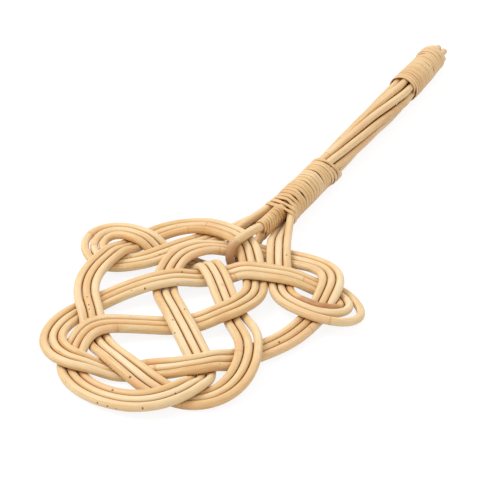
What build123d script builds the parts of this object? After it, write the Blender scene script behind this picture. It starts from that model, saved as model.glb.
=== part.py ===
from build123d import *
import math
import os

os.makedirs("parts", exist_ok=True)

# A rattan carpet beater lying on its back: one band of three canes is woven into a knotted head,
# and both ends of the band run on, bound and twisted, as the handle. The head's front is at the
# low end of Y, the handle runs towards +Y, and Z is up.

# Canes
cane = 6.5
cane_gap = 0.3
over_gap = 0.75
lane = cane + cane_gap
level_rise = (cane + over_gap) / 2
overrun = 5.0

# Head: the span that its route's shares follow, and how it lies on the floor
route_span = 250.0
head_rise = 1.58
front_rest_share = 0.078
level_hold = 3.0
run_limit = 13.0
run_least = 4.0

# Handle: a core cane with seven canes round it, bound at the neck and at the grip
handle_x = 5.3
neck_start = 298.0
neck_length = 88.0
neck_bind_length = 84.0
twist_length = 193.0
grip_length = 98.0
tip_length = 7.5
tip_spread = 4.0
neck_ring_radius = 8.6
grip_ring_radius = 9.3
ring_canes = 7
ring_start = 78.0
neck_twist = -14.0
ring_twist = -86.0
twist_runs = 7

# Peel bindings of the handle
peel_thickness = 1.3
peel_fit = 0.3
neck_peel_width = 4.2
neck_turns = 17
grip_peel_width = 4.2
grip_turns = 20
neck_setback = 3.0
handle_height = grip_ring_radius + cane / 2 + peel_fit + peel_thickness

# Peel that binds the keeper's two legs
keeper_peel_width = 3.4
keeper_peel_thickness = 1.0
keeper_peel_fit = 0.2
keeper_bind_start = 250.5
keeper_bind_length = 38.5
keeper_turns = 9

# Bends: how much of the shorter run beside a corner its arc takes
bend_share = 0.45
tight_bend_share = 0.12
keeper_end_share = 0.48

# Places where the band crosses itself, as shares of the route span, across and along
crossing_shares = {
    "a": (0.121, 0.921), "b": (0.192, 0.786), "c": (0.366, 0.644), "d": (0.360, 0.810),
    "e": (0.110, 0.767), "f": (-0.016, 0.715), "g": (-0.128, 0.596), "h": (-0.287, 0.388),
    "i": (-0.173, 0.105), "j": (-0.011, 0.152), "k": (0.191, 0.256), "l": (0.276, 0.387),
    "m": (0.009, 0.896), "n": (-0.128, 0.770), "o": (0.013, 0.429), "p": (0.197, 0.118),
    "q": (-0.192, 0.278), "r": (0.144, 0.550), "s": (-0.124, 0.950), "t": (-0.337, 0.793),
    "u": (-0.200, 0.785), "v": (-0.360, 0.635),
}

# Route of the middle cane from the handle's right side, round the head and back to its left side.
# A crossing has its level, over 1 and under -1. Any other place has its shares across and along,
# how far the outer cane fans away from the middle one there, and, where it also sinks below it, how
# far, as shares of a cane.
route_shares = [
    (0.088, 1.000, 0), ("a", 1), ("b", -1), (0.244, 0.704, 0), (0.300, 0.664, 0), ("c", 1),
    (0.412, 0.651, 0.15, 0.1), (0.449, 0.680, 0.45, 0.4), (0.462, 0.713, 0.55, 0.5),
    (0.448, 0.750, 0.1, 0.5), (0.416, 0.788, 0, 0.35), ("d", -1), (0.296, 0.802, 0),
    (0.243, 0.792, 0), ("b", 1), ("e", 1),
    (0.048, 0.750, 0), ("f", -1), (-0.065, 0.661, 0), ("g", 1), (-0.186, 0.538, 0),
    (-0.246, 0.464, 0), ("h", -1), (-0.306, 0.308, 0), (-0.300, 0.233, 0), (-0.277, 0.173, 0),
    (-0.239, 0.131, 0), ("i", 1), (-0.137, 0.108, 0), (-0.079, 0.123, 0), ("j", -1),
    (0.052, 0.190, 0), (0.124, 0.212, 0), ("k", 1), (0.229, 0.309, 0), ("l", -1),
    (0.314, 0.448, 0), (0.346, 0.520, 0), (0.360, 0.588, 0), ("c", -1), (0.370, 0.730, 0),
    ("d", 1), (0.338, 0.856, 0), (0.304, 0.890, 0), (0.240, 0.914, 0), (0.180, 0.923, 0),
    ("a", -1), (0.064, 0.911, 0), ("m", -0.5), (-0.040, 0.872, 0), (-0.086, 0.827, 0), ("n", 1.7),
    (-0.151, 0.718, 0), (-0.154, 0.668, 0), ("g", -1), (-0.088, 0.541, 0), (-0.028, 0.472, 0),
    ("o", 1), (0.096, 0.354, 0), ("k", -1), (0.212, 0.190, 0), ("p", 1), (0.154, 0.056, 0),
    (0.096, 0.022, 0), (0.032, 0.013, 0), (-0.032, 0.019, 0), (-0.099, 0.043, 0), ("i", -1),
    (-0.193, 0.154, 0), (-0.202, 0.211, 0), ("q", 1), (-0.144, 0.320, 0), (-0.070, 0.374, 0),
    ("o", -1), (0.088, 0.480, 0), ("r", 1), (0.159, 0.610, 0), (0.147, 0.693, 0), ("e", -1),
    (0.054, 0.846, 0), ("m", 1.5), (-0.042, 0.930, 0), ("s", 1), (-0.180, 0.941, 0),
    (-0.245, 0.915, 0), (-0.296, 0.872, 0), ("t", -1), (-0.351, 0.732, 0), ("v", 1),
    (-0.361, 0.572, 0), (-0.342, 0.480, 0), ("h", 1), (-0.241, 0.339, 0), ("q", -1),
    (-0.142, 0.232, 0), (-0.072, 0.182, 0), ("j", 1), (0.060, 0.126, 0), ("p", -1),
    (0.235, 0.125, 0), (0.274, 0.152, 0), (0.305, 0.212, 0), (0.307, 0.285, 0), ("l", 1),
    (0.246, 0.432, 0.3), (0.188, 0.502, 0.3), ("r", -1), (0.076, 0.620, 0), (0.032, 0.668, 0),
    ("f", 1), (-0.070, 0.760, 0), ("n", -2.2), ("u", -2.2), (-0.240, 0.786, 0), (-0.280, 0.788, 0),
    ("t", 1), (-0.383, 0.798, 0), (-0.436, 0.787, 0), (-0.466, 0.752, 0.15),
    (-0.463, 0.712, 0.2), (-0.432, 0.665, 0), ("v", -1), (-0.310, 0.656, 0), (-0.247, 0.708, 0),
    ("u", -0.2), (-0.164, 0.860, 0), ("s", -1), (-0.106, 1.000, 0),
]
samples_per_step = 8

# Where each end of the band gathers into the handle: how far before the neck as a share of the
# gather length, the middle cane's place across and up from the handle's axis as shares of a cane,
# headings from it to the outer and the inner cane, and their distance as a share of a lane
gather_length = 48.0
right_gather_shares = [(0.750, 2.08, -0.62, 198, 35, 1.06), (0.480, 1.70, -0.70, 207, 62, 1.14)]
left_gather_shares = [(0.750, -4.00, -0.50, 30, 230, 1.12), (0.480, -2.74, -0.22, 48, 262, 1.16)]
ring_gather_share = 0.190
keeper_ring_radius = 10.8

# Heights of the band's ends where they leave the head, as shares of a cane from the handle's axis
right_rise_shares = {1: -0.42, 0: -0.24, -1: -0.05}
left_rise_shares = {1: -0.62, 0: -0.78, -1: -1.10}

# Staggered cane ends at the butt, as shares of the tip's spread
tip_shares = {"outer": (0.2, 0.9), "middle": (0.6, 0.1), "inner": (0.4, 0.7), "keeper": (0.0, 1.0)}

# Keeper's corners from the neck to its bend: across as a share of a cane from the handle's axis,
# along as a share of the keeper's length, and up as a share of a cane from the handle's axis
keeper_length = 93.5
keeper_upper_shares = [(0.23, 0.096, 1.12), (0.05, 0.535, 1.12), (-0.12, 0.684, 1.71), (-0.60, 0.856, 1.65)]
keeper_bend_shares = (-1.08, 1.0, 1.62)
keeper_lower_shares = [(-0.60, 0.856), (-0.12, 0.674)]
keeper_core_shares = [(0.05, 0.524), (0.23, 0.096)]


def ring_angle(place):
    """Heading of one of the ring places round the handle: the keeper's is 0, then clockwise"""
    return ring_start - place * 360 / ring_canes


def on_handle(radius, angle, y):
    """Place at a radius and heading round the handle's axis"""
    across = radius * math.cos(math.radians(angle))
    up = radius * math.sin(math.radians(angle))
    return (handle_x + across, y, handle_height + up)


def middle_height(y):
    """Height of the head's middle plane over the floor"""
    rest = front_rest_share * route_span
    return cane / 2 + level_rise + (y - rest) * math.tan(math.radians(head_rise))


def route_points():
    """Middle cane's route: place, fan, the name and level of a crossing, and sink"""
    points = []
    for step in route_shares:
        if isinstance(step[0], str):
            x, y = crossing_shares[step[0]]
            points.append((x * route_span, y * route_span, 0, step[0], step[1], 0))
        else:
            sink = step[3] * cane if len(step) > 3 else 0
            points.append((step[0] * route_span, step[1] * route_span, step[2] * cane, None, 0, sink))
    return points


def route_samples(points):
    """Close samples of a smooth curve through the route: place, heading, fan and sink"""
    places = [point[:2] for point in points]
    runs = [math.dist(a, b) for a, b in zip(places, places[1:])]
    slopes = []
    for k in range(len(places)):
        before = max(k - 1, 0)
        after = min(k, len(runs) - 1)
        slope = []
        for axis in range(2):
            arriving = (places[before + 1][axis] - places[before][axis]) / runs[before]
            leaving = (places[after + 1][axis] - places[after][axis]) / runs[after]
            slope.append((arriving * runs[after] + leaving * runs[before]) / (runs[after] + runs[before]))
        slopes.append(slope)
    samples = []
    for k, run in enumerate(runs):
        last = k == len(runs) - 1
        for n in range(samples_per_step + last):
            t = n / samples_per_step
            place = []
            heading = []
            for axis in range(2):
                start, end = places[k][axis], places[k + 1][axis]
                out, home = slopes[k][axis] * run, slopes[k + 1][axis] * run
                place.append(start * (2 * t**3 - 3 * t**2 + 1) + out * (t**3 - 2 * t**2 + t)
                             + end * (3 * t**2 - 2 * t**3) + home * (t**3 - t**2))
                heading.append((end - start) * (6 * t - 6 * t**2) + out * (3 * t**2 - 4 * t + 1)
                               + home * (3 * t**2 - 2 * t))
            fan = points[k][2] + (points[k + 1][2] - points[k][2]) * t
            sink = points[k][5] + (points[k + 1][5] - points[k][5]) * t
            samples.append((place, heading, fan, sink))
    return samples


def lane_plan(samples, side):
    """Plan line of one cane: side 1 is the outer cane, 0 the middle one and -1 the inner one"""
    plan = []
    for (x, y), (u, v), fan, _ in samples:
        offset = side * lane
        if side > 0:
            offset += fan
        size = math.hypot(u, v)
        plan.append((x + v / size * offset, y - u / size * offset))
    return plan


def lengths_along(plan):
    total = [0.0]
    for a, b in zip(plan, plan[1:]):
        total.append(total[-1] + math.dist(a, b))
    return total


def meeting(a, b, c, d):
    """Shares along the runs a-b and c-d at which they cross, or None"""
    ux, uy = b[0] - a[0], b[1] - a[1]
    vx, vy = d[0] - c[0], d[1] - c[1]
    turn = ux * vy - uy * vx
    if turn == 0:
        return None
    wx, wy = c[0] - a[0], c[1] - a[1]
    first = (wx * vy - wy * vx) / turn
    second = (wx * uy - wy * ux) / turn
    if 0 <= first < 1 and 0 <= second < 1:
        return first, second
    return None


def crossing_hits(points, plans, measured):
    """For each cane, the length along it and the level wherever it crosses a cane of the band"""
    visits = {}
    for k, point in enumerate(points):
        if point[3]:
            visits.setdefault(point[3], []).append((k * samples_per_step, point[4]))
    hits = {side: [] for side in plans}
    apart = 2 * samples_per_step
    for first, one in plans.items():
        for second, two in plans.items():
            for i in range(len(one) - 1):
                for j in range(i + apart, len(two) - 1):
                    if abs(two[j][0] - one[i][0]) + abs(two[j][1] - one[i][1]) > 2 * lane:
                        continue
                    found = meeting(one[i], one[i + 1], two[j], two[j + 1])
                    if found is None:
                        continue
                    visit = min(visits.values(), key=lambda pair: abs(pair[0][0] - i) + abs(pair[1][0] - j))
                    for side, k, share, level in ((first, i, found[0], visit[0][1]),
                                                  (second, j, found[1], visit[1][1])):
                        run = measured[side][k + 1] - measured[side][k]
                        hits[side].append((measured[side][k] + share * run, level))
    return {side: sorted(places) for side, places in hits.items()}


def level_knots(hits):
    """Ends of each stretch that keeps one level, as length along the cane and level"""
    stretches = []
    for along, level in hits:
        if stretches and stretches[-1][2] == level:
            stretches[-1][1] = along
        else:
            stretches.append([along, along, level])
    knots = []
    for k, (start, end, level) in enumerate(stretches):
        hold_before = level_hold
        hold_after = level_hold
        if k > 0:
            hold_before = min(level_hold, (start - stretches[k - 1][1]) / 4)
        if k < len(stretches) - 1:
            hold_after = min(level_hold, (stretches[k + 1][0] - end) / 4)
        knots.append((start - hold_before, level))
        knots.append((end + hold_after, level))
    return knots


def between(knots, along):
    """Level at a length along the cane"""
    if along <= knots[0][0]:
        return knots[0][1]
    for (a, low), (b, high) in zip(knots, knots[1:]):
        if along <= b:
            return low + (high - low) * (along - a) / (b - a)
    return knots[-1][1]


def head_stations(plan, measured, knots, sinks):
    """Corners of one cane's path through the head"""
    marks = [0.0, measured[-1]]
    for along, level in knots:
        if run_least < along < measured[-1] - run_least:
            marks.append(along)
    marks.sort()
    kept = [marks[0]]
    for mark in marks[1:]:
        if mark - kept[-1] >= run_least:
            kept.append(mark)
    kept[-1] = marks[-1]
    filled = [kept[0]]
    for a, b in zip(kept, kept[1:]):
        count = math.ceil((b - a) / run_limit)
        for n in range(count):
            filled.append(a + (b - a) * (n + 1) / count)
    stations = []
    k = 0
    for along in filled:
        while k < len(measured) - 2 and measured[k + 1] < along:
            k += 1
        share = (along - measured[k]) / (measured[k + 1] - measured[k])
        x = plan[k][0] + (plan[k + 1][0] - plan[k][0]) * share
        y = plan[k][1] + (plan[k + 1][1] - plan[k][1]) * share
        sink = sinks[k] + (sinks[k + 1] - sinks[k]) * share
        stations.append((x, y, middle_height(y) + between(knots, along) * level_rise - sink))
    return stations


def gathered(gather_shares, side):
    """Corners of one cane between the head and the neck"""
    corners = []
    for along, across, up, outer_heading, inner_heading, apart in gather_shares:
        x = handle_x + across * cane
        y = neck_start - along * gather_length
        z = handle_height + up * cane
        if side:
            heading = math.radians(outer_heading if side > 0 else inner_heading)
            x += apart * lane * math.cos(heading)
            z += apart * lane * math.sin(heading)
        corners.append((x, y, z))
    return corners


def ringed(place, tip_share):
    """Corners of one cane from beside the keeper through the neck and the twist to the butt"""
    angle = ring_angle(place)
    twist_start = neck_start + neck_length
    grip_start = twist_start + twist_length
    corners = [on_handle(neck_ring_radius, angle, neck_start)]
    angle += neck_twist
    for k in range(twist_runs + 1):
        share = k / twist_runs
        radius = neck_ring_radius + (grip_ring_radius - neck_ring_radius) * share
        corners.append(on_handle(radius, angle + ring_twist * share, twist_start + twist_length * share))
    tip = grip_start + grip_length + tip_length + tip_share * tip_spread
    corners.append(on_handle(grip_ring_radius, angle + ring_twist, tip))
    return corners


def band_corners(plan, measured, knots, sinks, side, places, tips):
    """Corners of one head cane from its right tip through the head to its left tip"""
    beside = neck_start - ring_gather_share * gather_length
    head = head_stations(plan, measured, knots, sinks)
    start = (head[0][0], head[0][1], handle_height + right_rise_shares[side] * cane)
    end = (head[-1][0], head[-1][1], handle_height + left_rise_shares[side] * cane)
    right = gathered(right_gather_shares, side)
    right.append(on_handle(keeper_ring_radius, ring_angle(places[0]), beside))
    right.extend(ringed(places[0], tips[0]))
    left = gathered(left_gather_shares, side)
    left.append(on_handle(keeper_ring_radius, ring_angle(places[1]), beside))
    left.extend(ringed(places[1], tips[1]))
    return right[::-1] + [start] + head[1:-1] + [end] + left


def keeper_place(across, along, z):
    return (handle_x + across * cane, neck_start - along * keeper_length, z)


def keeper_corners():
    """Corners of the keeper from its upper leg's tip round its bend to its core's tip, and the
    bend share of each corner between"""
    upper = ringed(0, tip_shares["keeper"][0])[::-1]
    for across, along, up in keeper_upper_shares:
        upper.append(keeper_place(across, along, handle_height + up * cane))
    shares = [bend_share] * (len(upper) - 1)
    across, along, up = keeper_bend_shares
    bend = [keeper_place(across, along, handle_height + up * cane), keeper_place(across, along, cane / 2)]
    shares += [keeper_end_share] * 2
    lower = [keeper_place(across, along, cane / 2) for across, along in keeper_lower_shares]
    shares += [bend_share] * 2
    core = [keeper_place(across, along, handle_height) for across, along in keeper_core_shares]
    core.append(on_handle(0, 0, neck_start))
    shares += [tight_bend_share, bend_share, bend_share]
    tip = neck_start + neck_length + twist_length + grip_length + tip_length
    core.append(on_handle(0, 0, tip + tip_shares["keeper"][1] * tip_spread))
    return upper + bend + lower + core, shares


def bend_radii(corners, shares):
    """Radius of the arc at each corner, its ends a share of the shorter run from the corner"""
    radii = []
    for k, share in enumerate(shares):
        before = Vector(*corners[k + 1]) - Vector(*corners[k])
        after = Vector(*corners[k + 2]) - Vector(*corners[k + 1])
        turn = math.acos(max(-1, min(1, before.dot(after) / before.length / after.length)))
        radii.append(share * min(before.length, after.length) / math.tan(turn / 2))
    return radii


def cane_solid(corners, shares):
    """One round cane swept along its corners"""
    path = FilletPolyline(*corners, radius=bend_radii(corners, shares))
    start = Plane(origin=path @ 0, z_dir=path % 0)
    solid = sweep(start * Circle(cane / 2), path=path)
    expected = math.pi * cane**2 / 4 * path.length
    return solid, path, solid.volume / expected


def biarc(start, end, leaving, arriving):
    """Two arcs that meet smoothly between two places with given directions"""
    run = end - start
    both = leaving + arriving
    spread = 2 * (1 - leaving.dot(arriving))
    along = run.dot(both)
    reach = (-along + math.sqrt(along * along + spread * run.dot(run))) / spread
    middle = (start + leaving * reach + end - arriving * reach) * 0.5
    first = TangentArc(start, middle, tangent=leaving)
    return [first, TangentArc(middle, end, tangent=first % 1)]


def winding_path(radius, legs, length, turns, width):
    """One unbroken winding of a round bundle, or of two legs side by side, about +Y from the
    place where it starts; its ends run straight for one strip width"""
    loop = 2 * math.pi * radius + 2 * legs
    pitch = (length - width) / turns
    lead = math.atan(pitch / loop)
    # quarter places of a turn: across, up, heading of the run there, and share of the turn
    half_share = math.pi * radius / loop
    flank_share = legs / loop
    stops = [(radius, 0, 0, 0)]
    if legs:
        stops.append((radius, legs, 0, flank_share))
    stops.append((-radius, legs, 180, flank_share + half_share))
    if legs:
        stops.append((-radius, 0, 180, 2 * flank_share + half_share))

    def place(turn, stop):
        return Vector(stop[0], width / 2 + (turn + stop[3]) * pitch, stop[1])

    def heading(stop):
        up = math.cos(math.radians(stop[2])) * math.cos(lead)
        return Vector(0, math.sin(lead), up)

    walk = [(turn, stop) for turn in range(turns) for stop in stops]
    walk.append((turns, stops[0]))
    first = place(*walk[0])
    edges = [Line(first - heading(stops[0]) * width, first)]
    for (turn, stop), (next_turn, next_stop) in zip(walk, walk[1:]):
        a, b = place(turn, stop), place(next_turn, next_stop)
        if stop[2] == next_stop[2]:
            edges.append(Line(a, b))
        else:
            edges.extend(biarc(a, b, heading(stop), heading(next_stop)))
    last = place(*walk[-1])
    edges.append(Line(last, last + heading(stops[0]) * width))
    return Wire(edges)


def sleeve(radius, legs, length):
    """Solid bar about +Y that fills a winding of this radius and runs past both its ends"""
    outline = Circle(radius)
    if legs:
        outline += Pos(0, legs / 2) * Rectangle(2 * radius, legs)
        outline += Pos(0, legs) * Circle(radius)
    side = Plane(origin=(0, -overrun, 0), x_dir=(1, 0, 0), z_dir=(0, -1, 0))
    return extrude(side * outline, amount=-(length + 2 * overrun))


def peel_winding(inner_radius, thickness, legs, length, turns, width):
    """Flat strip of peel wound in one unbroken run, its faces trimmed from a round section"""
    path = winding_path(inner_radius + thickness / 2, legs, length, turns, width)
    start = Plane(origin=path @ 0, z_dir=path % 0)
    round_strip = sweep(start * Circle(width / 2), path=path)
    strip = round_strip & sleeve(inner_radius + thickness, legs, length)
    return strip - sleeve(inner_radius, legs, length), path


def winding_gap(path, width):
    """Least gap between neighbouring turns of a winding, measured on points of its path"""
    count = math.ceil(path.length / width) * samples_per_step
    places = [path @ (k / count) for k in range(count + 1)]
    step = path.length / count
    least = path.length
    for k, place in enumerate(places):
        nearest = k + math.ceil(3 * width / step)
        farthest = min(count + 1, k + math.ceil(24 * width / step))
        for other in range(nearest, farthest):
            least = min(least, (places[other] - place).length)
    return least - width


def placed(solid, place, turn):
    """Solid moved to a place, turned about Z by degrees"""
    return Pos(*place) * Rot(0, 0, turn) * solid


pieces = {}

points = route_points()
samples = route_samples(points)
sides = {"outer": 1, "middle": 0, "inner": -1}
plans = {side: lane_plan(samples, side) for side in sides.values()}
measured = {side: lengths_along(plan) for side, plan in plans.items()}
hits = crossing_hits(points, plans, measured)
ring_places = {"outer": (3, 6), "middle": (2, 5), "inner": (1, 4)}
for name, side in sides.items():
    knots = level_knots(hits[side])
    sinks = [sample[3] if side > 0 else 0 for sample in samples]
    corners = band_corners(plans[side], measured[side], knots, sinks, side, ring_places[name],
                           tip_shares[name])
    solid, path, ratio = cane_solid(corners, [bend_share] * (len(corners) - 2))
    pieces[f"head_cane_{name}"] = solid
    print(f"{name} head cane: {path.length:.0f} long, volume to section times length {ratio:.6f}")

corners, shares = keeper_corners()
pieces["keeper_cane"], path, ratio = cane_solid(corners, shares)
print(f"keeper cane: {path.length:.0f} long, volume to section times length {ratio:.6f}")

# Peel round the keeper's legs, in line with them
upper_start = Vector(*keeper_place(*keeper_upper_shares[1][:2], handle_height))
upper_end = Vector(*keeper_place(*keeper_upper_shares[0][:2], handle_height))
leg_run = upper_end - upper_start
legs_apart = keeper_upper_shares[0][2] * cane
strip, path = peel_winding(cane / 2 + keeper_peel_fit, keeper_peel_thickness, legs_apart,
                           keeper_bind_length, keeper_turns, keeper_peel_width)
bind_start = upper_start + leg_run * ((keeper_bind_start - upper_start.Y) / leg_run.Y)
bind_turn = math.degrees(math.atan2(-leg_run.X, leg_run.Y))
pieces["keeper_binding"] = placed(strip, (bind_start.X, bind_start.Y, bind_start.Z), bind_turn)
print(f"keeper binding: least gap between turns {winding_gap(path, keeper_peel_width):.2f}")

strip, path = peel_winding(neck_ring_radius + cane / 2 + peel_fit, peel_thickness, 0,
                           neck_bind_length, neck_turns, neck_peel_width)
pieces["neck_binding"] = placed(strip, (handle_x, neck_start + neck_setback, handle_height), 0)
print(f"neck binding: least gap between turns {winding_gap(path, neck_peel_width):.2f}")

strip, path = peel_winding(grip_ring_radius + cane / 2 + peel_fit, peel_thickness, 0,
                           grip_length, grip_turns, grip_peel_width)
grip_start = neck_start + neck_length + twist_length
pieces["grip_binding"] = placed(strip, (handle_x, grip_start, handle_height), 0)
print(f"grip binding: least gap between turns {winding_gap(path, grip_peel_width):.2f}")

# The origin lies under the middle of the whole beater, on the floor
boxes = [piece.bounding_box() for piece in pieces.values()]
low = [min(getattr(box.min, axis) for box in boxes) for axis in "XYZ"]
high = [max(getattr(box.max, axis) for box in boxes) for axis in "XYZ"]
shift = (-(low[0] + high[0]) / 2, -(low[1] + high[1]) / 2, -low[2])
print("size", [round(b - a, 2) for a, b in zip(low, high)], "shift", [round(value, 3) for value in shift])

for name, piece in pieces.items():
    box = piece.bounding_box()
    print(f"{name}: volume {piece.volume:.1f}, lowest {box.min.Z + shift[2]:.2f}, valid {piece.is_valid}")
    export_step(Pos(*shift) * piece, f"parts/{name}.step")

butt = handle_x + shift[0], high[1] + shift[1], handle_height + shift[2]
print("core's end face at the butt", [round(value, 3) for value in butt])
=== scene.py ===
import bpy
import bmesh
import math
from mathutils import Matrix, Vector, kdtree, noise


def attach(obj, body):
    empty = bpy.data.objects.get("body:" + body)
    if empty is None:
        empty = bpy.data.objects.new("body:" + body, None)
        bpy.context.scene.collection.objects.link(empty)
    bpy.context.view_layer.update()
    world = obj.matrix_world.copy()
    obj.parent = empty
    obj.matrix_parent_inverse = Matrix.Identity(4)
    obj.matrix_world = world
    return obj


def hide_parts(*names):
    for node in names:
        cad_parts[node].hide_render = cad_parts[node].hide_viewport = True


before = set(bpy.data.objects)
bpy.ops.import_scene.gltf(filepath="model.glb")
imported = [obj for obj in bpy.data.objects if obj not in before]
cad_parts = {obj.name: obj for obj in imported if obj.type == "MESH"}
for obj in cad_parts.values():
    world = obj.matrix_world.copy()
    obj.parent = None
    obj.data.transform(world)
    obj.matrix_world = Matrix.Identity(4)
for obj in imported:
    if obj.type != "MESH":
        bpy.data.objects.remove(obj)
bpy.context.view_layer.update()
scene = bpy.context.scene
scene.view_settings.view_transform = "Standard"


# shader nodes
def fill(tree, node, inputs):
    # each input takes a constant or another node's output
    for key, value in inputs.items():
        if isinstance(value, bpy.types.NodeSocket):
            tree.links.new(value, node.inputs[key])
        else:
            node.inputs[key].default_value = value


def addNode(tree, kind, inputs=None, **settings):
    node = tree.nodes.new(kind)
    for key, value in settings.items():
        setattr(node, key, value)
    fill(tree, node, inputs or {})
    return node


def combine(tree, operation, a, b=0.0):
    return addNode(tree, "ShaderNodeMath", {0: a, 1: b}, operation=operation).outputs["Value"]


def clearTree(owner):
    owner.use_nodes = True
    owner.node_tree.nodes.clear()
    return owner.node_tree


def surfaceByRay(tree, outputKind, lit, shown):
    # camera, gloss and transmission rays meet the shown shader, and all others the lit one
    rays = addNode(tree, "ShaderNodeLightPath").outputs
    seen = combine(tree, "MAXIMUM", rays["Is Camera Ray"], rays["Is Glossy Ray"])
    seen = combine(tree, "MAXIMUM", seen, rays["Is Transmission Ray"])
    choose = addNode(tree, "ShaderNodeMixShader", {"Fac": seen, 1: lit, 2: shown})
    addNode(tree, outputKind, {"Surface": choose.outputs["Shader"]})


def grey(value):
    return (value, value, value, 1.0)


# camera, lamps, room and floor
cameraView = {
    "place": (0.438449, -1.013938, 0.605506), "turn": (59.597, -0.648, 26.558),
    "lens": 105.0, "sensor": 36.0, "farthest": 20.0,
}
cameraData = bpy.data.cameras.new("photoCamera")
cameraData.lens = cameraView["lens"]
cameraData.sensor_width = cameraView["sensor"]
cameraData.clip_end = cameraView["farthest"]
photoCamera = bpy.data.objects.new("photoCamera", cameraData)
photoCamera.location = cameraView["place"]
photoCamera.rotation_euler = [math.radians(angle) for angle in cameraView["turn"]]
scene.collection.objects.link(photoCamera)
scene.camera = photoCamera

lamps = {
    "keyLamp": {"place": (-1.1, -0.5, 1.5), "aim": (0, -0.1, 0), "size": 1.0, "power": 19.8},
    "fillLamp": {"place": (1.3, -1.1, 1.1), "aim": (0, -0.1, 0), "size": 1.6, "power": 4.0},
    "rimLamp": {"place": (0.2, 1.5, 1.3), "aim": (0, 0, 0), "size": 1.6, "power": 8.0},
}


def addLamp(name, lamp):
    data = bpy.data.lights.new(name, "AREA")
    data.shape = "SQUARE"
    data.size = lamp["size"]
    data.energy = lamp["power"]
    obj = bpy.data.objects.new(name, data)
    obj.location = lamp["place"]
    aim = Vector(lamp["aim"]) - Vector(lamp["place"])
    obj.rotation_euler = aim.to_track_quat("-Z", "Y").to_euler()
    scene.collection.objects.link(obj)


for lampName, lamp in lamps.items():
    addLamp(lampName, lamp)

room = {"ambient": 0.665, "tint": (1.0, 0.975, 0.925, 1.0), "backdrop": 1.0}
world = bpy.data.worlds.new("studioRoom")
scene.world = world
roomTree = clearTree(world)
ambient = addNode(
    roomTree, "ShaderNodeBackground", {"Color": room["tint"], "Strength": room["ambient"]})
backdrop = addNode(
    roomTree, "ShaderNodeBackground", {"Color": grey(1.0), "Strength": room["backdrop"]})
surfaceByRay(roomTree, "ShaderNodeOutputWorld",
             ambient.outputs["Background"], backdrop.outputs["Background"])

# the floor bounces light as pale paint does, and is shown as a glow that shadows still darken
floorLook = {"size": 8.0, "bounce": 0.75, "paint": 0.17, "glow": 0.88}
floorMesh = bmesh.new()
bmesh.ops.create_grid(floorMesh, x_segments=1, y_segments=1, size=floorLook["size"] / 2)
floorData = bpy.data.meshes.new("studioFloor")
floorMesh.to_mesh(floorData)
floorMesh.free()
studioFloor = bpy.data.objects.new("studioFloor", floorData)
scene.collection.objects.link(studioFloor)

floorMaterial = bpy.data.materials.new("paleFloor")
floorTree = clearTree(floorMaterial)
bounce = addNode(floorTree, "ShaderNodeBsdfDiffuse", {"Color": grey(floorLook["bounce"])})
paint = addNode(floorTree, "ShaderNodeBsdfDiffuse", {"Color": grey(floorLook["paint"])})
glow = addNode(floorTree, "ShaderNodeEmission", {"Strength": floorLook["glow"]})
shownFloor = addNode(
    floorTree, "ShaderNodeAddShader", {0: paint.outputs["BSDF"], 1: glow.outputs["Emission"]})
surfaceByRay(floorTree, "ShaderNodeOutputMaterial",
             bounce.outputs["BSDF"], shownFloor.outputs["Shader"])
floorData.materials.append(floorMaterial)
print("camera, lamps and floor are set")

# finishes
# the crevice tone is painted shade, and deep is also used for painted shade
tones = {
    "deep": (0.60, 0.315, 0.105), "honey": (0.74, 0.475, 0.215), "straw": (0.82, 0.61, 0.345),
    "pale": (0.87, 0.725, 0.50), "blush": (0.78, 0.435, 0.215), "scar": (0.13, 0.05, 0.015),
    "russet": (0.42, 0.175, 0.075), "paintedCreviceShade": (0.28, 0.085, 0.012), "pith": (0.80, 0.63, 0.40),
    "pore": (0.40, 0.23, 0.11),
}
noiseLook = {"roughness": 0.55, "offsets": (1.0, 0.7, 0.3)}


def colour(toneName):
    return (*tones[toneName], 1.0)


def newMaterial(name):
    material = bpy.data.materials.new(name)
    material.use_nodes = True
    tree = material.node_tree
    return material, tree, tree.nodes["Principled BSDF"]


def attribute(tree, name, output="Fac"):
    return addNode(tree, "ShaderNodeAttribute", attribute_name=name).outputs[output]


def pattern(tree, source, look, tone=0.0):
    # noise with a scale for each direction; a tone shift gives each piece its own noise
    offset = look.get("offset", 0.0) + look.get("toneShift", 0.0) * tone
    mapping = addNode(tree, "ShaderNodeMapping", {
        "Vector": source, "Scale": look["scale"],
        "Location": [offset * part for part in noiseLook["offsets"]]})
    return addNode(tree, "ShaderNodeTexNoise", {
        "Vector": mapping.outputs["Vector"], "Scale": 1.0,
        "Detail": look["detail"], "Roughness": noiseLook["roughness"]}).outputs["Fac"]


def weighted(tree, patterns, weights):
    total = None
    for key, weight in weights.items():
        part = combine(tree, "MULTIPLY", patterns[key], weight)
        total = part if total is None else combine(tree, "ADD", total, part)
    return total


def ramp(tree, source, stops):
    node = addNode(tree, "ShaderNodeValToRGB", {"Fac": source})
    elements = node.color_ramp.elements
    elements[0].position, elements[0].color = stops[0][0], colour(stops[0][1])
    elements[1].position, elements[1].color = stops[-1][0], colour(stops[-1][1])
    for place, toneName in stops[1:-1]:
        elements.new(place).color = colour(toneName)
    return node.outputs["Color"]


def fitRange(tree, source, low, high, start=0.0, end=1.0):
    inputs = {"Value": source, "From Min": low, "From Max": high, "To Min": start, "To Max": end}
    node = addNode(tree, "ShaderNodeMapRange", inputs, interpolation_type="SMOOTHSTEP")
    return node.outputs["Result"]


def tint(tree, base, toneName, share):
    inputs = {"Factor": share, "A": base, "B": colour(toneName)}
    return addNode(tree, "ShaderNodeMix", inputs, data_type="RGBA").outputs["Result"]


def bumped(tree, height, strength, depth):
    inputs = {"Height": height, "Strength": strength, "Distance": depth}
    return addNode(tree, "ShaderNodeBump", inputs).outputs["Normal"]


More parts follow.
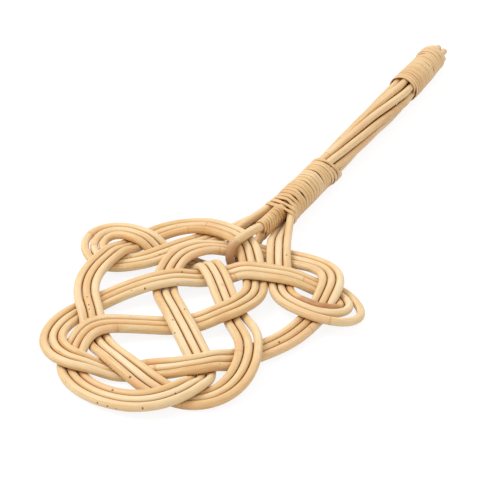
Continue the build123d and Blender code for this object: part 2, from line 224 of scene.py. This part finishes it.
def patternedBark(tree, look, tone):
    # the bark's patterns, and its colour before marks and painted shade
    grain = attribute(tree, "grain", "Vector")
    patterns = {key: pattern(tree, grain, one, tone) for key, one in look["patterns"].items()}
    level = combine(tree, "ADD", weighted(tree, patterns, look["weights"]), look["level"] + tone)
    bark = ramp(tree, level, look["stops"])
    for key, toneName, span in look["tints"]:
        bark = tint(tree, bark, toneName, fitRange(tree, patterns[key], *span))
    return patterns, bark


def nicked(tree, patterns, bark, look):
    nicks = fitRange(tree, patterns["nicks"], *look["nickSpan"])
    return nicks, tint(tree, bark, "scar", combine(tree, "MULTIPLY", nicks, look["nickShare"]))


# a span is where a pattern or distance starts and ends to count, then the shares it gives there
barkLook = {
    "patterns": {
        "streaks": {"scale": (520, 520, 9), "detail": 4},
        "drift": {"scale": (30, 30, 7), "detail": 3, "toneShift": 10},
        "mottle": {"scale": (330, 330, 110), "detail": 3, "offset": 6},
        "fibres": {"scale": (2300, 2300, 60), "detail": 3},
        "blushes": {"scale": (70, 70, 8), "detail": 2, "offset": 4},
        "hairs": {"scale": (1300, 1300, 16), "detail": 2, "offset": 8},
        "nicks": {"scale": (420, 420, 260), "detail": 1, "offset": 9},
        "ragged": {"scale": (1500, 1500, 700), "detail": 2},
    },
    "weights": {"streaks": 0.60, "drift": 0.90, "mottle": 0.30}, "level": -0.34,
    "stops": [(0.20, "deep"), (0.42, "honey"), (0.62, "straw"), (0.86, "pale")],
    "tints": [("blushes", "blush", (0.54, 0.74, 0, 0.60)),
              ("fibres", "deep", (0.55, 0.76, 0, 0.30)), ("hairs", "deep", (0.60, 0.72, 0, 0.40))],
    "ringSpan": (0.0004, 0.0011, 0.50, 0), "pastRingSpan": (0.0, 0.0008),
    "warmSpan": (0.004, 0.030, 1, 0), "warmShare": 0.40,
    "nickSpan": (0.765, 0.80), "nickShare": 0.70,
    "raggedWeight": 1.6, "raggedLeast": 0.2, "markCore": 0.5, "markRim": 0.9,
    # painted shade: darker where the next cane is close
    "paintedShade": [("deep", (0.0009, 0.0024, 0.32, 0)), ("paintedCreviceShade", (0.0003, 0.0012, 0.90, 0))],
    "roughSpan": (0.3, 0.7, 0.36, 0.52), "glossSpan": (0.0006, 0.0026, 0.05, 0.42),
    "relief": {"streaks": 0.7, "fibres": 0.3}, "bump": {"strength": 0.35, "depth": 0.00025},
}


def rattanBark(name, tone, marks):
    look = barkLook
    material, tree, shader = newMaterial(name)
    knuckle, shadeGap = attribute(tree, "knuckle"), attribute(tree, "shadeGap")
    patterns, bark = patternedBark(tree, look, tone)

    # node rings: a thin faint scar with a warmer stretch past it
    ring = fitRange(tree, combine(tree, "ABSOLUTE", knuckle), *look["ringSpan"])
    warm = combine(tree, "MULTIPLY", fitRange(tree, knuckle, *look["pastRingSpan"]),
                   fitRange(tree, knuckle, *look["warmSpan"]))
    bark = tint(tree, bark, "blush", combine(tree, "MULTIPLY", warm, look["warmShare"]))
    bark = tint(tree, bark, "deep", ring)

    # small dark nicks anywhere, then the marks, whose rims are ragged
    nicks, bark = nicked(tree, patterns, bark, look)
    place = addNode(tree, "ShaderNodeTexCoord").outputs["Object"]
    ragged = combine(tree, "MULTIPLY", patterns["ragged"], look["raggedWeight"])
    ragged = combine(tree, "ADD", ragged, look["raggedLeast"])
    for mark in marks:
        far = addNode(
            tree, "ShaderNodeVectorMath", {0: place, 1: mark["place"]}, operation="DISTANCE")
        far = combine(tree, "MULTIPLY", far.outputs["Value"], ragged)
        core, rim = mark["size"] * look["markCore"], mark["size"] * look["markRim"]
        bark = tint(tree, bark, mark["tone"], fitRange(tree, far, core, rim, mark["share"], 0))

    # painted shade, dark brown where canes press on one another, which also dulls them
    for toneName, span in look["paintedShade"]:
        bark = tint(tree, bark, toneName, fitRange(tree, shadeGap, *span))
    relief = combine(tree, "SUBTRACT", weighted(tree, patterns, look["relief"]),
                     combine(tree, "ADD", nicks, ring))
    fill(tree, shader, {
        "Base Color": bark, "Roughness": fitRange(tree, patterns["streaks"], *look["roughSpan"]),
        "Specular IOR Level": fitRange(tree, shadeGap, *look["glossSpan"]),
        "Normal": bumped(tree, relief, **look["bump"])})
    return material


pithLook = {
    "cells": 1500, "clouds": {"scale": (350, 350, 350), "detail": 3},
    "stops": [(0.3, "honey"), (0.7, "pith")], "poreSpan": (0.12, 0.32, 0.6, 0),
    "roughness": 0.85, "bump": {"strength": 0.6, "depth": 0.0003},
}


def cutPith(name):
    # the cane's cut end: pale pith full of dark pores
    look = pithLook
    material, tree, shader = newMaterial(name)
    place = addNode(tree, "ShaderNodeTexCoord").outputs["Object"]
    cells = addNode(tree, "ShaderNodeTexVoronoi", {"Vector": place, "Scale": look["cells"]})
    cells = cells.outputs["Distance"]
    pith = ramp(tree, pattern(tree, place, look["clouds"]), look["stops"])
    fill(tree, shader, {
        "Base Color": tint(tree, pith, "pore", fitRange(tree, cells, *look["poreSpan"])),
        "Roughness": look["roughness"], "Normal": bumped(tree, cells, **look["bump"])})
    return material


# painted shade between turns: an edge darkens from one share of the strip's width to another,
# up to its last number
peelLook = {
    "patterns": {
        "streaks": {"scale": (900, 300, 9), "detail": 4},
        "turns": {"scale": (60, 60, 6), "detail": 2, "offset": 3, "toneShift": 10},
        "blushes": {"scale": (120, 120, 9), "detail": 2, "offset": 7},
        "nicks": {"scale": (300, 300, 320), "detail": 1, "offset": 12},
    },
    "weights": {"streaks": 0.40, "turns": 0.80}, "level": -0.07,
    "stops": [(0.20, "deep"), (0.42, "honey"), (0.62, "straw"), (0.88, "pale")],
    "tints": [("blushes", "blush", (0.52, 0.74, 0, 0.55))],
    "nickSpan": (0.76, 0.80), "nickShare": 0.60,
    "edges": [("deep", 0.38, 0.50, 0.42), ("paintedCreviceShade", 0.42, 0.47, 0.42)],
    "roughSpan": (0.3, 0.7, 0.38, 0.55), "gloss": 0.42,
    "bump": {"strength": 0.4, "depth": 0.0002},
}


def peelBark(name, tone, width):
    # the strip's grain lies flat: X across it, Z along it
    look = peelLook
    material, tree, shader = newMaterial(name)
    patterns, bark = patternedBark(tree, look, tone)
    nicks, bark = nicked(tree, patterns, bark, look)
    parts = addNode(tree, "ShaderNodeSeparateXYZ", {"Vector": attribute(tree, "grain", "Vector")})
    aside = combine(tree, "ABSOLUTE", parts.outputs["X"])
    # painted shade along both edges of the strip, where turns meet
    for toneName, start, end, share in look["edges"]:
        edge = fitRange(tree, aside, width * start, width * end, 0, share)
        bark = tint(tree, bark, toneName, edge)
    relief = combine(tree, "SUBTRACT", patterns["streaks"], nicks)
    fill(tree, shader, {
        "Base Color": bark, "Roughness": fitRange(tree, patterns["streaks"], *look["roughSpan"]),
        "Specular IOR Level": look["gloss"], "Normal": bumped(tree, relief, **look["bump"])})
    return material


# canes: girths are shares of the thickness at places along Y
canes = {
    "outerCane": {"node": "head_cane_outer", "tone": 0.02, "seed": 3.1},
    "middleCane": {"node": "head_cane_middle", "tone": 0.09, "seed": 11.7},
    "innerCane": {"node": "head_cane_inner", "tone": -0.03, "seed": 23.4},
    "keeperCane": {"node": "keeper_cane", "tone": -0.03, "seed": 37.9,
                   "girths": [(-0.060, 1.14), (-0.045, 1.0)]},
}
evenGirth = [(0.0, 1.0), (1.0, 1.0)]

# stretches of another tone on each cane
canePatches = {
    "outerCane": [
        {"place": (-0.0120, -0.0680, 0.0200), "size": 0.0300, "share": 0.60, "tone": "straw"},
        {"place": (0.0154, -0.3173, 0.0104), "size": 0.0100, "share": 0.50, "tone": "blush"},
        {"place": (-0.0305, -0.2666, 0.0140), "size": 0.0060, "share": 0.35, "tone": "deep"},
        {"place": (0.0345, -0.2215, 0.0137), "size": 0.0090, "share": 0.30, "tone": "deep"},
        {"place": (0.0473, -0.1061, 0.0127), "size": 0.0090, "share": 0.40, "tone": "blush"},
    ],
    "middleCane": [
        {"place": (-0.0188, -0.0766, 0.0145), "size": 0.0300, "share": 0.50, "tone": "straw"},
        {"place": (0.0137, -0.1793, 0.0147), "size": 0.0030, "share": 0.25, "tone": "pore"},
    ],
    "innerCane": [
        {"place": (0.0822, -0.1737, 0.0159), "size": 0.0120, "share": 0.70, "tone": "russet"},
        {"place": (0.0937, -0.1749, 0.0169), "size": 0.0120, "share": 0.70, "tone": "russet"},
        {"place": (0.1043, -0.1722, 0.0153), "size": 0.0120, "share": 0.70, "tone": "russet"},
    ],
    "keeperCane": [
        {"place": (-0.0008, -0.1390, 0.0150), "size": 0.0200, "share": 0.65, "tone": "russet"},
    ],
}
# dark nicks on each cane, each a place with its size
caneNicks = {
    "outerCane": [
        ((0.0033, -0.2425, 0.0158), 0.0011), ((0.0113, -0.2535, 0.0129), 0.0010),
        ((-0.0241, -0.1776, 0.0150), 0.0011), ((0.0042, -0.3324, 0.0094), 0.0012),
        ((-0.0004, -0.3145, 0.0089), 0.0010), ((0.0089, -0.3160, 0.0117), 0.0015),
    ],
    "middleCane": [
        ((0.0478, -0.3190, 0.0123), 0.0011), ((-0.0711, -0.2454, 0.0158), 0.0009),
        ((-0.0651, -0.2528, 0.0150), 0.0010), ((-0.0626, -0.2561, 0.0135), 0.0009),
        ((0.0832, -0.2227, 0.0087), 0.0011),
    ],
    "innerCane": [
        ((-0.0386, -0.2117, 0.0142), 0.0011), ((0.0045, -0.2260, 0.0164), 0.0011),
        ((0.0005, -0.3473, 0.0066), 0.0010), ((0.0088, -0.3475, 0.0069), 0.0009),
        ((0.0339, -0.3413, 0.0094), 0.0011), ((0.0413, -0.1201, 0.0188), 0.0011),
        ((0.0141, -0.1607, 0.0143), 0.0009),
    ],
    "keeperCane": [],
}
nickLook = {"share": 0.90, "tone": "scar"}

caneShape = {
    "thickness": 0.00676, "roundness": 8, "step": 0.004, "smoothing": 2, "fineStep": 0.001,
    "nodeSpacing": 0.31, "nodeScatter": 0.4, "nodeSwell": 0.022, "swellLength": 0.0035,
    "wander": 0.012, "mergeWithin": 2e-6, "cutZone": 0.012, "cutFacing": 0.99, "sideCorners": 4,
}
# smooth noise along canes and strips: how fast it changes, and its own row of the noise
wobbles = {
    "node": {"rate": 1.7, "row": 0}, "girth": {"rate": 9, "row": 5},
    "edge": {"rate": 2.1, "row": 1}, "lift": {"rate": 1.3, "row": 7},
}
# the handle's axis in X and Z, where it starts, and how far from the axis its canes can lie
handle = {"axis": (0.004944, 0.01415), "start": -0.03, "radius": 0.02, "bundleRadius": 0.03}
# at places along Y: the canes' spread from the axis, their shift to +X and their girth
handleForm = [
    (0.030, 1.0, 0.0, 1.0), (0.072, 1.02, 0.0010, 1.04), (0.110, 1.03, 0.0010, 1.05),
    (0.145, 1.05, 0.0006, 1.07), (0.190, 1.10, 0.0017, 1.12), (0.215, 1.10, 0.0020, 1.13),
    (0.242, 1.03, 0.0008, 1.04), (0.290, 1.0, 0.0002, 1.0), (0.325, 0.95, 0.0, 1.0),
    (0.346, 0.88, 0.0, 1.0),
]


def wobble(kind, place, seed):
    return noise.noise((place * wobbles[kind]["rate"], seed, wobbles[kind]["row"]))


def between(stops, place):
    # values at a place, from a list of places with their values
    for (a, *low), (b, *high) in zip(stops, stops[1:]):
        if place <= b:
            share = max(0.0, (place - a) / (b - a))
            share = share * share * (3 - 2 * share)
            return [x + (y - x) * share for x, y in zip(low, high)]
    return list(stops[-1][1:])


def centreLine(nodeName):
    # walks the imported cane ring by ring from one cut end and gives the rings' middles
    bm = bmesh.new()
    bm.from_mesh(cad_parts[nodeName].data)
    bmesh.ops.remove_doubles(bm, verts=bm.verts, dist=caneShape["mergeWithin"])
    buttEnd = max(vert.co.y for vert in bm.verts) - caneShape["cutZone"]
    cuts = [face for face in bm.faces if face.normal.y > caneShape["cutFacing"]
            and face.calc_center_median().y > buttEnd]
    first = max(cuts, key=lambda face: face.calc_center_median().x).calc_center_median()
    ring = {vert for face in cuts for vert in face.verts
            if (vert.co - first).length < caneShape["thickness"]}
    seen = set(ring)
    middles = []
    while ring:
        middles.append(sum((vert.co for vert in ring), Vector()) / len(ring))
        ring = {edge.other_vert(vert) for vert in ring for edge in vert.link_edges} - seen
        seen |= ring
    bm.free()
    return middles


def spread(points, step):
    # points at an even step along a line
    total = sum((b - a).length for a, b in zip(points, points[1:]))
    count = round(total / step)
    even = [points[0]]
    walked = 0.0
    for a, b in zip(points, points[1:]):
        run = (b - a).length
        while len(even) < count and run > 0 and walked + run >= total / count * len(even):
            even.append(a.lerp(b, (total / count * len(even) - walked) / run))
        walked += run
    even.append(points[-1])
    return even


def fromAxis(point):
    return math.hypot(point.x - handle["axis"][0], point.z - handle["axis"][1])


def inHandle(point):
    return point.y > handle["start"] and fromAxis(point) < handle["radius"]


def girthAt(cane, y):
    return between(cane.get("girths", evenGirth), y)[0]


def caneLine(cane):
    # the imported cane's middle line, smoothed, with the handle's part formed and all off the floor
    line = spread(centreLine(cane["node"]), caneShape["step"])
    for _ in range(caneShape["smoothing"]):
        inner = [(a + b * 2 + c) / 4 for a, b, c in zip(line, line[1:], line[2:])]
        line = [line[0], *inner, line[-1]]
    axisX, axisZ = handle["axis"]
    for point in line:
        if inHandle(point):
            outward, shift, _ = between(handleForm, point.y)
            point.x = axisX + (point.x - axisX) * outward + shift
            point.z = axisZ + (point.z - axisZ) * outward
        point.z = max(point.z, caneShape["thickness"] / 2 * girthAt(cane, point.y))
    return line


caneLines = {name: caneLine(cane) for name, cane in canes.items()}
print("centre lines found for", len(caneLines), "canes")

# every cane's fine points, to find what lies beside a place
beside = {"places": [], "owners": []}
for caneName, line in caneLines.items():
    for k, point in enumerate(spread(line, caneShape["fineStep"])):
        beside["places"].append(point)
        beside["owners"].append((caneName, k * caneShape["fineStep"]))
besideTree = kdtree.KDTree(len(beside["places"]))
for k, point in enumerate(beside["places"]):
    besideTree.insert(point, k)
besideTree.balance()

# painted shade: how far from a place a cane's middle still counts, how far along one cane another
# pass of it starts, where the bindings hide the canes, and how the handle's inside is painted
# darker
paintedShade = {
    "reach": 0.0068, "nextPass": 0.03, "afterStart": 0.008, "beforeEnd": 0.014,
    "innerRadius": 0.0068, "innerRate": 0.8, "tips": 0.335,
}


def gapBeside(place, owner, along):
    # how far a place on one cane is from the nearest other cane, or other pass of the same one
    least = paintedShade["reach"]
    for _, k, distance in besideTree.find_range(place, paintedShade["reach"]):
        other, otherAlong = beside["owners"][k]
        if other != owner or abs(otherAlong - along) > paintedShade["nextPass"]:
            least = min(least, distance)
    return max(0.0, least - caneShape["thickness"] / 2)


def pastNode(along, seed):
    # nodes stand at uneven distances; gives how far past the nearest one a place lies
    spacing = caneShape["nodeSpacing"]
    place = along / spacing + caneShape["nodeScatter"] * wobble("node", along, seed)
    return (place - round(place)) * spacing


def nodeSwelling(along, seed):
    past = pastNode(along, seed) / caneShape["swellLength"]
    return caneShape["nodeSwell"] * math.exp(-past ** 2)


# peel bindings: where each strip starts and ends along Y, and how it lies, with headings in
# degrees round the handle.
# taut: a turn and the share by which the strip follows the canes' taut hull there, not a ring
# tilts: a turn, how far the strip leans along Y and the heading that leans to the head
# openings: a turn, a heading, half the length in turns and the width
# lifts: the middle turn, half the length in turns, a heading and the height
windings = {
    "neckWinding": {
        "node": "neck_binding", "canes": list(canes), "axis": handle["axis"],
        "turns": 19, "start": -0.0600, "end": 0.0475, "thick": 0.0014, "fit": 0.0002,
        "taut": [(0, 1.0), (1.5, 0.95), (4, 0.4)], "tone": -0.05, "seed": 4.2, "wander": 0.00025,
        "tilts": [(0, 0.0035, 80), (6, 0.0008, 80), (13, 0.0, 80), (19, 0.0075, 95),
                  (20.5, 0.0085, 95)],
        "openings": [(0, 62, 0.10, 0.0020), (1, 60, 0.11, 0.0028), (2, 74, 0.06, 0.0036),
                     (3, 50, 0.07, 0.0012), (4, 56, 0.05, 0.0026), (6, 45, 0.06, 0.0024),
                     (9, 60, 0.10, 0.0009), (13, 60, 0.13, 0.0018), (16, 70, 0.12, 0.0010),
                     (18, 60, 0.11, 0.0026), (18, 5, 0.05, 0.0018), (19, 15, 0.04, 0.0014)],
        "lifts": [(0.4, 1.6, 144, -0.0008), (0.4, 1.6, -30, -0.0006), (6.3, 2.6, 144, 0.0009),
                  (19.4, 0.6, 60, 0.0004), (18.0, 2.0, -30, 0.0018), (12, 6, -20, 0.0005)],
    },
    "gripWinding": {
        "node": "grip_binding", "canes": list(canes), "axis": handle["axis"],
        "turns": 20, "start": 0.2375, "end": 0.3375, "thick": 0.0013, "fit": 0.0002,
        "taut": [(0, 0.3), (1, 0.3)], "tone": -0.04, "seed": 8.6, "wander": 0.00030,
        "tilts": [(0, 0.0016, 70), (5, 0.0, 70), (16, 0.0, 70), (20.5, 0.0020, 60)],
        "openings": [(3, 60, 0.14, 0.0006), (6, 75, 0.10, 0.0009), (9, 70, 0.15, 0.0009),
                     (11, 50, 0.06, 0.0012), (12, 14, 0.05, 0.0022), (13, 70, 0.12, 0.0009),
                     (15, 122, 0.07, 0.0022), (16, 60, 0.12, 0.0009), (18, 40, 0.10, 0.0008)],
        "lifts": [(17.6, 2.2, 144, 0.0016), (17.6, 2.2, 70, 0.0004), (7, 7, -10, 0.0010)],
    },
    "keeperWinding": {
        "node": "keeper_binding", "canes": ["keeperCane"], "axis": None,
        "turns": 9, "start": -0.0960, "end": -0.0535, "thick": 0.0014, "fit": 0.0006,
        "taut": [(0, 1.0), (1, 1.0)], "tone": -0.04, "seed": 15.3, "wander": 0.00015,
        "tilts": [(0, 0.0, 90), (4, 0.0, 90), (10, 0.0060, 100)],
        "openings": [(1, 40, 0.1, 0.0012), (2, 20, 0.1, 0.0014), (5, 60, 0.1, 0.0008),
                     (7, 60, 0.1, 0.0012)],
        "lifts": [(8.3, 0.9, 60, 0.0004), (0.2, 0.5, 60, 0.0003)],
    },
}
# the strip's section and how it is spun, its least opening, its unevenness, how its ends dive
# under the next turn, and the heights between which it stays
stripShape = {
    "sides": 16, "stepsPerTurn": 48, "squareness": 0.5, "crown": 0.7, "cover": 0.9,
    "spinRadius": 0.02, "least": 0.00024, "unevenness": 0.00012, "dive": 0.0016,
    "diveLength": 0.05, "bottom": 0.0001, "top": 0.0290, "pressed": 0.0001,
}
# the canes are cut through at each millimetre, some way past both ends of a winding too, and
# the hull is felt for at each step of degrees
feeler = {"perMetre": 1000, "before": 4, "after": 6, "widest": 78, "step": 6}


def pitchOf(winding):
    return (winding["end"] - winding["start"]) / (winding["turns"] + 1)


def bundleAt(caneNames, y):
    # where the canes cross the plane at y, within the handle
    crossings = []
    for name in caneNames:
        line = caneLines[name]
        for a, b in zip(line, line[1:]):
            if (a.y - y) * (b.y - y) <= 0 and a.y != b.y:
                point = a.lerp(b, (y - a.y) / (b.y - a.y))
                if fromAxis(point) < handle["bundleRadius"]:
                    crossings.append((point.x, point.z))
    return crossings


def sectionsOf(winding):
    # the canes' crossings and their centre, for each cut along the winding
    sections = {}
    count = int((winding["end"] - winding["start"]) * feeler["perMetre"])
    for k in range(-feeler["before"], count + feeler["after"]):
        crossings = bundleAt(winding["canes"], winding["start"] + k / feeler["perMetre"])
        centre = winding["axis"] or [sum(values) / len(values) for values in zip(*crossings)]
        sections[k] = (crossings, centre)
    return sections, sections[count // 2][1]


def hullReach(crossings, centre, heading):
    # distance from the centre to a taut band round the canes, in a heading
    least = math.inf
    for degrees in range(-feeler["widest"], feeler["widest"] + 1, feeler["step"]):
        facing = heading + math.radians(degrees)
        across, up = math.cos(facing), math.sin(facing)
        support = max((x - centre[0]) * across + (z - centre[1]) * up for x, z in crossings)
        reach = (support + caneShape["thickness"] / 2) / math.cos(math.radians(degrees))
        least = min(least, reach)
    return least


def reachAt(winding, section, turn):
    crossings, centre = section
    hull = hullReach(crossings, centre, math.tau * turn)
    farthest = max(math.hypot(x - centre[0], z - centre[1]) for x, z in crossings)
    ring = max(hull, farthest + caneShape["thickness"] / 2)
    taut = between(winding["taut"], turn)[0]
    return hull * taut + ring * (1 - taut)


def edgeLine(winding, turn):
    # the line that the strip's lower edge follows; its upper edge is the same line a turn later
    tilt, low = between(winding["tilts"], turn)
    lowered = tilt * math.cos(math.tau * turn - math.radians(low))
    astray = winding["wander"] * wobble("edge", turn, winding["seed"])
    return winding["start"] + pitchOf(winding) * turn - lowered + astray


def opening(winding, turn):
    wide = stripShape["least"]
    for at, heading, half, width in winding["openings"]:
        wide += width * math.exp(-((turn - at - heading / 360) / half) ** 2)
    return wide


def lift(winding, turn):
    raised = stripShape["unevenness"] * wobble("lift", turn, winding["seed"])
    for at, half, heading, height in winding["lifts"]:
        facing = max(0.0, math.cos(math.tau * turn - math.radians(heading))) ** 2
        raised += height * facing * math.exp(-((turn - at) / half) ** 4)
    toEnd = min(turn, winding["turns"] - turn) / stripShape["diveLength"]
    return raised - stripShape["dive"] * math.exp(-toEnd ** 2)


def spunStrip(winding, middle):
    # a flat rounded section spun up an even screw, which is laid on the canes afterwards
    pitch, turns = pitchOf(winding), winding["turns"]
    bm = bmesh.new()
    bmesh.ops.create_circle(bm, cap_ends=False, segments=stripShape["sides"], radius=0.5)
    for vert in bm.verts:
        across, rise = vert.co.y * 2, vert.co.x * 2
        across = math.copysign(abs(across) ** stripShape["squareness"], across)
        rise = math.copysign(abs(rise) ** stripShape["crown"], rise)
        vert.co.y = across / 2 * pitch * stripShape["cover"]
        vert.co.x = rise / 2 * winding["thick"]
    start = (middle[0] + stripShape["spinRadius"], winding["start"] + pitch / 2, middle[1])
    bmesh.ops.translate(bm, verts=bm.verts, vec=start)
    steps = turns * stripShape["stepsPerTurn"]
    bmesh.ops.spin(bm, geom=bm.verts[:] + bm.edges[:], cent=(middle[0], 0, middle[1]),
                   axis=(0, -1, 0), dvec=(0, pitch * turns / steps, 0),
                   angle=math.tau * turns, steps=steps, use_merge=False)
    bmesh.ops.holes_fill(bm, edges=[edge for edge in bm.edges if edge.is_boundary], sides=0)
    return bm


def layStrip(bm, winding, sections, middle):
    # moves each point from the screw to its place on the canes and gives the points' grain
    pitch, thick = pitchOf(winding), winding["thick"]
    reaches, grains = {}, {}
    for vert in bm.verts:
        x, z = vert.co.x - middle[0], vert.co.z - middle[1]
        heading = math.atan2(z, x) / math.tau
        past = (vert.co.y - winding["start"] - pitch / 2) / pitch
        turn = heading + round(past - heading)
        across = (past - turn) / stripShape["cover"]
        rise = (math.hypot(x, z) - stripShape["spinRadius"]) / thick
        low = edgeLine(winding, turn) + opening(winding, turn) / 2
        high = edgeLine(winding, turn + 1) - opening(winding, turn + 1) / 2
        key = round(turn * stripShape["stepsPerTurn"])
        if key not in reaches:
            section = sections[round(((low + high) / 2 - winding["start"]) * feeler["perMetre"])]
            reaches[key] = (reachAt(winding, section, turn), section[1])
        reach, centre = reaches[key]
        radius = reach + winding["fit"] + lift(winding, turn) + (rise + 0.5) * thick
        grains[vert.index] = ((high - low) * across, rise * thick, turn * math.tau * reach)
        up = centre[1] + radius * math.sin(math.tau * turn)
        up = max(up, stripShape["bottom"] - stripShape["pressed"] * rise)
        up = min(up, stripShape["top"] + stripShape["pressed"] * rise)
        vert.co = (centre[0] + radius * math.cos(math.tau * turn),
                   low + (high - low) * (across + 0.5), up)
    return grains


def makeWinding(name, winding):
    sections, middle = sectionsOf(winding)
    bm = spunStrip(winding, middle)
    grains = layStrip(bm, winding, sections, middle)
    bmesh.ops.recalc_face_normals(bm, faces=bm.faces)
    mesh = bpy.data.meshes.new(name)
    bm.to_mesh(mesh)
    bm.free()
    grain = mesh.attributes.new("grain", "FLOAT_VECTOR", "POINT")
    for k, flat in grains.items():
        grain.data[k].vector = flat
    for polygon in mesh.polygons:
        polygon.use_smooth = True
    obj = bpy.data.objects.new(name, mesh)
    scene.collection.objects.link(obj)
    mesh.materials.append(peelBark(name + "Peel", winding["tone"], pitchOf(winding)))
    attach(obj, "root")
    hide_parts(winding["node"])
    print(name, "has", winding["turns"], "turns and", len(mesh.polygons), "faces")


def paintedShadeGap(place, name, along):
    # the gap beside a place, also small under the bindings and inside the handle, for painted shade
    close = gapBeside(place, name, along)
    for winding in windings.values():
        if winding["axis"]:
            before = winding["start"] - place.y + paintedShade["afterStart"]
            after = place.y - winding["end"] + paintedShade["beforeEnd"]
            close = min(close, max(0.0, before, after))
    if inHandle(place) and place.y < paintedShade["tips"]:
        inner = (fromAxis(place) - paintedShade["innerRadius"]) * paintedShade["innerRate"]
        close = min(close, max(0.0, inner))
    return close


def grainAlong(mesh, line, lengths, name, seed):
    # grain holds the cane straightened out along Z, so that a pattern follows every bend, knuckle
    # how far past the nearest node of the cane a point lies, and gap how close the next cane is,
    # which sets where shade is painted
    tree = kdtree.KDTree(len(line))
    directions = []
    across = None
    for k, point in enumerate(line):
        tree.insert(point, k)
        heading = (line[min(k + 1, len(line) - 1)] - line[max(k - 1, 0)]).normalized()
        if across is None:
            across = heading.orthogonal()
        else:
            across = across - heading * across.dot(heading)
        across.normalize()
        directions.append((heading, across.copy(), heading.cross(across)))
    tree.balance()
    mesh.attributes.new("knuckle", "FLOAT", "POINT")
    mesh.attributes.new("shadeGap", "FLOAT", "POINT")
    mesh.attributes.new("grain", "FLOAT_VECTOR", "POINT")
    grain, knuckle, shadeGap = (mesh.attributes[key] for key in ("grain", "knuckle", "shadeGap"))
    for vert in mesh.vertices:
        nearest, k, _ = tree.find(vert.co)
        heading, side, rise = directions[k]
        offset = vert.co - nearest
        along = lengths[k] + offset.dot(heading)
        grain.data[vert.index].vector = (offset.dot(side), offset.dot(rise), along + seed)
        knuckle.data[vert.index].value = pastNode(along, seed)
        shadeGap.data[vert.index].value = paintedShadeGap(vert.co, name, along)


def makeCane(name, cane):
    line, seed = caneLines[name], cane["seed"]
    curve = bpy.data.curves.new(name + "Curve", "CURVE")
    curve.dimensions = "3D"
    curve.bevel_depth = caneShape["thickness"] / 2
    curve.bevel_resolution = caneShape["roundness"]
    curve.use_fill_caps = True
    spline = curve.splines.new("POLY")
    spline.points.add(len(line) - 1)
    along = 0.0
    lengths = []
    for k, point in enumerate(line):
        if k:
            along += (point - line[k - 1]).length
        lengths.append(along)
        radius = 1 + nodeSwelling(along, seed) + caneShape["wander"] * wobble("girth", along, seed)
        if inHandle(point):
            radius *= between(handleForm, point.y)[2]
        spline.points[k].co = (*point, 1)
        spline.points[k].radius = radius * girthAt(cane, point.y)
    curveObject = bpy.data.objects.new(name + "Curve", curve)
    scene.collection.objects.link(curveObject)
    depsgraph = bpy.context.evaluated_depsgraph_get()
    mesh = bpy.data.meshes.new_from_object(curveObject.evaluated_get(depsgraph))
    bpy.data.objects.remove(curveObject)
    mesh.name = name
    obj = bpy.data.objects.new(name, mesh)
    scene.collection.objects.link(obj)
    grainAlong(mesh, line, lengths, name, seed)
    marks = canePatches[name] + [
        {"place": place, "size": size, **nickLook} for place, size in caneNicks[name]]
    mesh.materials.append(rattanBark(name + "Bark", cane["tone"], marks))
    mesh.materials.append(pith)
    for polygon in mesh.polygons:
        isSide = len(polygon.vertices) == caneShape["sideCorners"]
        polygon.use_smooth = isSide
        polygon.material_index = 0 if isSide else 1
    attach(obj, "root")
    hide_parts(cane["node"])
    print(name, "is", round(along, 3), "m long with", len(mesh.polygons), "faces")


pith = cutPith("caneCut")
for caneName, cane in canes.items():
    makeCane(caneName, cane)
for windingName, winding in windings.items():
    makeWinding(windingName, winding)
